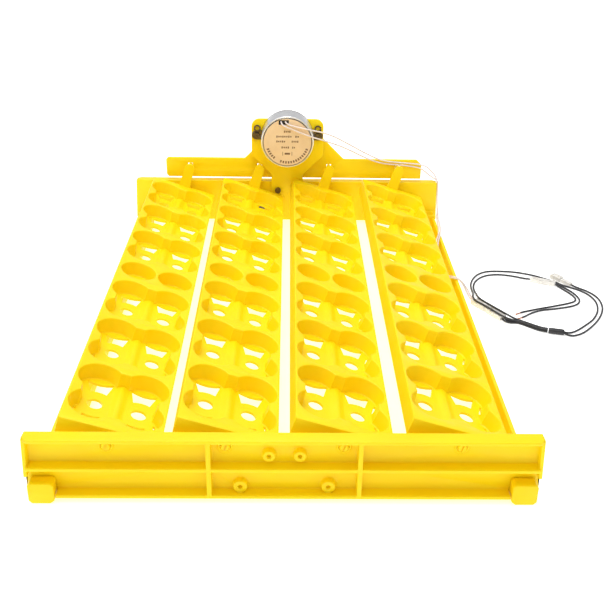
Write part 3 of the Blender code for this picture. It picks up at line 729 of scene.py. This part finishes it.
def slit_outline(side, fore):
    """The narrow floor opening between a cell's ring and its outer wall."""
    corners = [(9.9, 7.6), (11.3, 7.9), (12.6, 12.0), (13.2, 16.4), (12.0, 16.6), (11.0, 12.0)]
    return [(side * (CELL_U + a), fore * b) for a, b in corners]


def add_saddle(bm, y):
    """The low ridge between a nest's left and right cells, highest where it meets the walls."""
    rows = []
    wide = 5.6
    section = [(wide * i / 5, 0.5 + 0.5 * math.cos(math.pi * i / 5)) for i in range(-5, 6)]
    for i in range(15):
        share = -1.0 + 2.0 * i / 14
        top = 2.4 - 0.5 * share * share
        row = [
            bm.verts.new(Vector((u, y + share * (NEST_R + 0.6), TRAY_FLOOR + top * rise)) * MM)
            for u, rise in section
        ]
        row.append(bm.verts.new(Vector((wide, y + share * (NEST_R + 0.6), TRAY_FLOOR - 0.8)) * MM))
        row.append(bm.verts.new(Vector((-wide, y + share * (NEST_R + 0.6), TRAY_FLOOR - 0.8)) * MM))
        rows.append(row)
    count = len(rows[0])
    for low, high in zip(rows, rows[1:]):
        for i in range(count):
            j = (i + 1) % count
            bm.faces.new((low[i], low[j], high[j], high[i]))
    bm.faces.new(rows[0])
    bm.faces.new(rows[-1])
    bmesh.ops.recalc_face_normals(bm, faces=bm.faces)


def add_snap_pin(bm, end):
    """A pivot pin that snaps into an end rail: a cone tip."""
    low, high = (208.0, 218.4) if end == 1 else (-208.0, -218.4)
    add_round(bm, "y", 0.0, 0.0, 3.0, *sorted((low, high)), 32)
    tip_low, tip_high = (218.2, 219.5) if end == 1 else (-219.5, -218.2)
    radii = (3.0, 2.3) if end == 1 else (2.3, 3.0)
    add_round(bm, "y", 0.0, 0.0, radii[0], tip_low, tip_high, 32, radii[1])


def tray_shape():
    """One tray about its own pivot axis, which is the local Y axis."""
    base = add_box(
        shell(), (-TRAY_HALF_U, TRAY_HALF_U), (-TRAY_HALF_Y, TRAY_HALF_Y), (TRAY_LOW, TRAY_HIGH)
    )
    bmesh.ops.bevel(
        base, geom=base.edges[:], offset=0.5 * MM, segments=3, profile=0.5, affect="EDGES"
    )
    pins = shell()
    for end in (-1, 1):
        add_snap_pin(pins, end)
    lever = [(-5.6, 2.0), (5.6, 2.0)] + arc(0.0, 24.0, 4.4, 4, 176, 12)
    stem = add_prism(shell(), "y", lever, 207.2, 209.6)
    pin = add_round(shell(), "y", 0.0, LEVER_R, 2.0, 208.4, 224.0, 28)
    pockets, openings, walls = shell(), shell(), shell()
    for y in [sign * at for at in GROUP_Y for sign in (-1, 1)]:
        levels = [
            (moved(nest_outline(LOBE_AT, LOBE_R + wider, NEST_R + wider), 0.0, y), height)
            for wider, height in NEST_PROFILE
        ]
        add_stack(pockets, "z", levels)
        add_saddle(walls, y)
        for side in (-1, 1):
            add_round(openings, "z", side * CELL_U, y, RING_HOLE_R, *FLOOR_CUT, 28)
            for fore in (-1, 1):
                add_prism(openings, "z", moved(bow_outline(side, fore), 0.0, y), *FLOOR_CUT)
                add_prism(openings, "z", moved(slit_outline(side, fore), 0.0, y), *FLOOR_CUT)
    for side in (-1, 1):
        levels = [
            (circle(side * LOBE_AT, 0.0, PAIR_R + wider, 48), height)
            for wider, height in NEST_PROFILE
        ]
        add_stack(pockets, "z", levels)
        add_round(openings, "z", side * LOBE_AT, 0.0, RING_HOLE_R, *FLOOR_CUT, 28)
    slits = shell()
    for end in (-1, 1):
        low, high = sorted((end * 218.5, end * 222.0))
        add_box(slits, (-0.55, 0.55), (low, high), (-4.0, 4.0))
    steps = [("UNION", bm) for bm in (pins, stem, pin)]
    steps += [("DIFFERENCE", bm) for bm in (pockets, openings)]
    steps += [("UNION", walls), ("DIFFERENCE", slits)]
    return smoothed(carved("tray_moulding", base, steps), 34.0)


def build_trays(mats):
    shape = tray_shape()
    for number, x in enumerate(PIVOT_X, start=1):
        tray = bpy.data.objects.new(f"egg_tray_{number}", shape.data.copy())
        bpy.context.scene.collection.objects.link(tray)
        place = Matrix.Translation(Vector((x, 0.0, PIVOT_Z)) * MM)
        tray.data.transform(place @ Matrix.Rotation(math.radians(TILT), 4, "Y"))
        finish_piece(tray, mats["yellow"], f"tray_{number}", "yellow_plastic", f"tray_{number}")
    bpy.data.objects.remove(shape)


# ---------------------------------------------------------------- rails


def end_rail(name, node, boss_spots, turned, mats):
    """An end rail with its flanges, ribs, bosses, feet and pivot holes."""
    web = [
        (-150.0, RAIL_LOW),
        (150.0, RAIL_LOW),
        (152.2, RAIL_LOW + 2.5),
        (150.0, RAIL_HIGH),
        (-150.0, RAIL_HIGH),
        (-152.2, RAIL_LOW + 2.5),
    ]
    base = add_prism(shell(), "y", web, -WEB_OUT, -WEB_IN)
    back = -WEB_OUT + 0.5
    flange = [(-150.0, back), (-150.0, -END_Y + 3.0), (-147.0, -END_Y)]
    flange += [(147.0, -END_Y), (150.0, -END_Y + 3.0), (150.0, back)]
    adds = [add_prism(shell(), "z", flange, RAIL_HIGH - 2.2, RAIL_HIGH)]
    adds.append(add_box(shell(), (-149.6, 149.6), (-END_Y, back), (22.2, 24.4)))
    adds.append(add_box(shell(), (-134.0, 134.0), (-END_Y, back), (3.0, 5.2)))
    ends = shell()
    for side in (-1, 1):
        wall = [
            (side * 147.8, RAIL_HIGH - 0.4),
            (side * 150.0, RAIL_HIGH - 0.4),
            (side * 151.4, 17.0),
            (side * 149.2, 17.0),
        ]
        add_prism(ends, "y", wall, -END_Y + 1.6, back)
        add_box(ends, (side * 44.0 - 1.4, side * 44.0 + 1.4), (-END_Y, back), (4.0, 43.0))
    adds.append(ends)
    collars = shell()
    for x in PIVOT_X:
        add_round(collars, "y", x, PIVOT_Z, 4.3, -218.5, back, 32, 4.6)
    for x, z, radius in boss_spots:
        add_round(collars, "y", x, z, radius - 0.2, -221.4, back, 32, radius + 0.3)
    adds.append(collars)
    holes = shell()
    for x in PIVOT_X:
        add_round(holes, "y", x, PIVOT_Z, 3.15, -230.0, -210.0, 32)
    for x, z, radius in boss_spots:
        add_round(holes, "y", x, z, 1.35, -230.0, -219.0, 20)
    if turned:
        for bm in [base, *adds, holes]:
            bmesh.ops.transform(bm, matrix=Matrix.Rotation(math.pi, 4, "Z"), verts=bm.verts)
    obj = carved(name, base, [("UNION", bm) for bm in adds] + [("DIFFERENCE", holes)])
    rounded(obj, 0.5, 3)
    finish_piece(obj, mats["yellow"], "rack", "yellow_plastic", node)


def build_end_rails(mats):
    front = [(-9.0, 31.0, 3.8), (9.0, 31.0, 3.8), (-26.0, 9.0, 4.3), (26.0, 9.0, 4.3)]
    end_rail("front_rail_moulding", "front_end_rail", front, False, mats)
    rear = [(-9.2, 36.0, 3.8), (9.2, 36.0, 3.8), (-25.5, 16.5, 4.3), (25.5, 16.5, 4.3)]
    end_rail("rear_rail_moulding", "rear_end_rail", rear, True, mats)


def side_rail(name, node, side, mats):
    """A channel open at the top, with a slotted block at each end."""
    channel = [(133.5, 1.2), (134.7, 0.0), (147.8, 0.0), (149.0, 1.2), (149.0, 11.0)]
    channel += [(146.4, 11.0), (146.4, 2.5), (136.0, 2.5), (136.0, 11.0), (133.5, 11.0)]
    base = add_prism(shell(), "y", [(side * x, z) for x, z in channel], -205.0, 205.0)
    blocks = shell()
    block = [(134.4, 2.0), (136.8, 0.0), (147.6, 0.0), (149.5, 2.0)]
    block += [(149.5, 12.6), (148.1, 14.0), (135.8, 14.0), (134.4, 12.6)]
    slots = shell()
    wells = shell()
    for end in (-1, 1):
        low, high = sorted((end * 203.6, end * 226.0))
        add_prism(blocks, "y", [(side * x, z) for x, z in block], low, high)
        low, high = sorted((end * 215.2, end * 218.0))
        add_box(slots, (side * 141.0 - 12, side * 141.0 + 12), (low, high), (2.7, 20.0))
        low, high = sorted((end * 205.6, end * 213.4))
        add_box(wells, (side * 142.0 - 5.4, side * 142.0 + 5.4), (low, high), (5.0, 20.0))
    steps = [("UNION", blocks), ("DIFFERENCE", slots), ("DIFFERENCE", wells)]
    obj = carved(name, base, steps)
    rounded(obj, 0.4, 2)
    finish_piece(obj, mats["yellow"], "rack", "yellow_plastic", node)


# ---------------------------------------------------------------- drive


def build_link_bar(mats):
    """The bar that joins the levers, cut with a slot for each lever's pin and a tall slot in its raised
    middle.
    """
    shift = BAR_SHIFT
    rim = [(-125.0, 47.0), (127.0, 47.0), (127.0, 61.5), (122.0, 66.5), (49.0, 66.5)]
    rim += [(27.5, 88.0), (27.5, 102.0), (24.0, 106.0), (-24.0, 106.0), (-27.5, 102.0)]
    rim += [(-27.5, 88.0), (-49.0, 66.5), (-125.0, 66.5), (-127.0, 64.5), (-127.0, 49.0)]
    base = add_prism(shell(), "y", [(a + shift, b) for a, b in rim], *BAR_Y)
    slots = shell()
    for at in PIVOT_X:
        x = at + shift
        add_box(slots, (x - 2.35, x + 2.35), (210.0, 230.0), (55.6, 61.2))
    add_box(slots, (shift - 3.7, shift + 3.7), (210.0, 230.0), (83.2, 101.8))
    obj = carved("link_bar_moulding", base, [("DIFFERENCE", slots)])
    rounded(obj, 0.5, 3)
    finish_piece(obj, mats["yellow"], "link", "yellow_plastic", "link_bar")


def build_bracket(mats):
    rim = [(-35.0, 72.0), (-15.5, 52.0), (-15.5, 30.0), (-31.0, 22.0), (-31.0, 10.0)]
    rim += [(31.0, 10.0), (31.0, 22.0), (15.5, 30.0), (15.5, 52.0), (35.0, 72.0)]
    rim += arc(27.0, 100.3, 8.0, 0, 90, 10) + arc(-27.0, 100.3, 8.0, 90, 180, 10)
    base = add_prism(shell(), "y", rim, *BRACKET_Y)
    holes = shell()
    add_round(holes, "y", 0.0, SHAFT_Z, 6.0, 205.0, 220.0, 40)
    for side in (-1, 1):
        for x, z in ((EAR_X, SHAFT_Z), (9.2, 36.0), (25.5, 16.5)):
            add_round(holes, "y", side * x, z, SCREW_HOLE_R, 205.0, 220.0, 20)
    obj = carved("motor_bracket_moulding", base, [("DIFFERENCE", holes)])
    rounded(obj, 0.6, 3)
    finish_piece(obj, mats["yellow"], "rack", "yellow_plastic", "motor_bracket")


def lead_exit():
    return add_box(shell(), (-8.4, 1.2), (180.0, 190.2), (109.4, 114.0))


def build_motor(mats):
    """The motor: a drawn can with a rolled front edge and an open back, its label and mounting plate."""
    count = 96
    can = add_round(shell(), "y", 0.0, SHAFT_Z, CAN_R, 189.0, 210.9, count)
    bore = add_round(shell(), "y", 0.0, SHAFT_Z, 24.1, 189.8, 215.0, count)
    lip = add_round(shell(), "y", 0.0, SHAFT_Z, 23.3, 188.0, 189.25, count)
    obj = carved(
        "motor_can_shell", can, [("DIFFERENCE", bore), ("DIFFERENCE", lip), ("DIFFERENCE", lead_exit())]
    )
    rounded(obj, 0.7, 4, 50.0)
    finish_piece(obj, mats["can"], "rack", "bright_steel", "motor_can")
    label = add_round(shell(), "y", 0.0, SHAFT_Z, 22.6, LABEL_FACE_Y, 188.7, count)
    obj = carved("motor_label_film", label, [("DIFFERENCE", lead_exit())])
    finish_piece(smoothed(obj), mats["label"], "rack", "gold_label", "motor_label")
    # A near-black sheet just behind the lead exit notch: painted shade for the dark inside of the can's
    # opening.
    notch_shade = add_box(shell(), (-9.2, 2.0), (189.86, 190.4), (108.8, 114.2))
    bmesh.ops.bevel(notch_shade, geom=notch_shade.edges[:], offset=0.15 * MM, segments=2, affect="EDGES")
    obj = raw_object("lead_exit_painted_shade", notch_shade)
    finish_piece(obj, mats["bore"], "rack", "dark_ferrite")
    build_print(mats)
    build_gear_plate(mats)


def build_print(mats):
    """Plain printed dashes on the label: four rows across it and a row round its lower edge."""
    bm = shell()
    rows = ((103.0, (-3.4, 3.4)), (98.2, (-10.5, 4.5)), (98.2, (7.4, 11.5)))
    rows += ((93.4, (-10.5, -1.5)), (93.4, (4.0, 11.0)), (87.6, (-5.6, 2.2)), (87.6, (4.6, 7.8)))
    for z, (left, right) in rows:
        count = round((right - left) / 1.9)
        pitch = (right - left) / count
        for i in range(count):
            x = left + pitch * i
            tall = 1.5 if i % 3 else 1.9
            add_box(bm, (x, x + pitch * 0.62), MARKS_Y, (z - tall / 2, z + tall / 2))
    for i in range(20):
        angle = math.radians(200 + 140 * i / 19)
        if i in (5, 6):
            continue
        x, z = 19.6 * math.cos(angle), SHAFT_Z + 19.6 * math.sin(angle)
        tick = add_box(shell(), (-0.7, 0.7), MARKS_Y, (-1.15, 1.15))
        turn = Matrix.Rotation(-angle + math.pi / 2, 4, "Y")
        bmesh.ops.transform(
            tick, matrix=Matrix.Translation(Vector((x, 0.0, z)) * MM) @ turn, verts=tick.verts
        )
        copy = bpy.data.meshes.new("tick")
        tick.to_mesh(copy)
        tick.free()
        bm.from_mesh(copy)
        bpy.data.meshes.remove(copy)
    for low, high in ((-4.6, -4.1), (4.1, 4.6)):
        add_box(bm, (low, high), MARKS_Y, (79.6, 83.4))
    add_box(bm, (-2.6, 2.6), MARKS_Y, (80.6, 82.4))
    obj = raw_object("motor_label_marks", bm)
    finish_piece(obj, mats["print"], "rack", "gold_label")


def build_gear_plate(mats):
    """The motor's back plate, with an ear and an eyelet on each side."""
    outline = []
    for side in (1, -1):
        middle = 0.0 if side == 1 else 180.0
        outline += [(side * 22.0, SHAFT_Z - side * 4.6), (side * EAR_X, SHAFT_Z - side * 4.6)]
        outline += arc(side * EAR_X, SHAFT_Z, 4.6, middle - 80, middle + 80, 10)
        outline += [(side * EAR_X, SHAFT_Z + side * 4.6), (side * 22.0, SHAFT_Z + side * 4.6)]
        outline += arc(0.0, SHAFT_Z, CAN_R, middle + 14, middle + 166, 30)
    base = add_prism(shell(), "y", outline, 211.2, 212.4)
    adds = shell()
    holes = shell()
    add_round(holes, "y", 0.0, SHAFT_Z, 3.8, 205.0, 220.0, 28)
    for side in (-1, 1):
        add_round(adds, "y", side * 29.4, SHAFT_Z + 6.6, 3.4, 210.6, 212.4, 28)
        add_round(holes, "y", side * 29.4, SHAFT_Z + 6.6, 2.1, 205.0, 220.0, 24)
        add_round(holes, "y", side * EAR_X, SHAFT_Z, SCREW_HOLE_R, 205.0, 220.0, 20)
    obj = carved("motor_back_plate", base, [("UNION", adds), ("DIFFERENCE", holes)])
    rounded(obj, 0.2, 2)
    # The back plate takes the dark steel: its ears are painted dark for the shade that falls on them behind
    # the can.
    finish_piece(obj, mats["dark_steel"], "rack", "bright_steel", "motor_gear_plate")


def dress_nodes(mats):
    """Gives the CAD pieces that are shown as they are their finished materials."""
    finishes = {
        "stator_coil": "copper",
        "rotor_magnet": "ferrite",
        "reduction_gear": "steel",
        "output_shaft": "steel",
        "crank_disc": "nylon",
        "crank_pin_screw": "steel",
    }
    for side in ("left", "right"):
        finishes[f"motor_screw_{side}"] = "dark_steel"
        finishes[f"motor_nut_{side}"] = "steel"
        finishes[f"bracket_screw_upper_{side}"] = "dark_steel"
        finishes[f"bracket_screw_lower_{side}"] = "dark_steel"
    for name, finish in finishes.items():
        node = NODES[name]
        if not node.material_slots:
            node.data.materials.append(mats[finish])
        for material_slot in node.material_slots:
            material_slot.material = mats[finish]


# ---------------------------------------------------------------- stage


def add_stage():
    mesh = bpy.data.meshes.new("floor")
    bm = bmesh.new()
    bmesh.ops.create_grid(bm, x_segments=1, y_segments=1, size=6.0)
    bm.to_mesh(mesh)
    bm.free()
    floor = bpy.data.objects.new("floor", mesh)
    bpy.context.scene.collection.objects.link(floor)
    made, shader = new_material("pale_floor", (0.9, 0.9, 0.9), 0.9)
    shader.inputs["Emission Color"].default_value = (1.0, 1.0, 1.0, 1.0)
    shader.inputs["Emission Strength"].default_value = 0.55
    shader.inputs["Specular IOR Level"].default_value = 0.1
    mesh.materials.append(made)


def add_softbox(name, place, target, size, power):
    light = bpy.data.lights.new(name, "AREA")
    light.shape = "RECTANGLE"
    light.size, light.size_y = size
    light.energy = power
    obj = bpy.data.objects.new(name, light)
    obj.location = place
    aim = (Vector(target) - Vector(place)).to_track_quat("-Z", "Y")
    obj.rotation_euler = aim.to_euler()
    bpy.context.scene.collection.objects.link(obj)


def add_light():
    scene = bpy.context.scene
    scene.view_settings.view_transform = "Standard"
    world = bpy.data.worlds.new("studio")
    world.use_nodes = True
    back = world.node_tree.nodes["Background"]
    back.inputs["Color"].default_value = (1.0, 1.0, 1.0, 1.0)
    back.inputs["Strength"].default_value = 0.62
    scene.world = world
    add_softbox("overhead", (-0.3, 0.3, 1.7), (0.0, 0.0, 0.0), (1.6, 1.6), 15.0)
    add_softbox("front_fill", (-0.9, -1.5, 0.9), (0.0, 0.0, 0.05), (1.0, 1.0), 1.2)
    add_softbox("rear_fill", (0.0, -0.15, 0.75), (0.0, 0.25, 0.08), (0.35, 0.35), 1.6)


def main():
    add_camera()
    mats = make_materials()
    build_wiring(mats)
    build_end_rails(mats)
    side_rail("left_rail_moulding", "left_side_rail", -1, mats)
    side_rail("right_rail_moulding", "right_side_rail", 1, mats)
    build_trays(mats)
    build_link_bar(mats)
    build_bracket(mats)
    build_motor(mats)
    dress_nodes(mats)
    add_stage()
    add_light()


main()
bpy.context.view_layer.update()
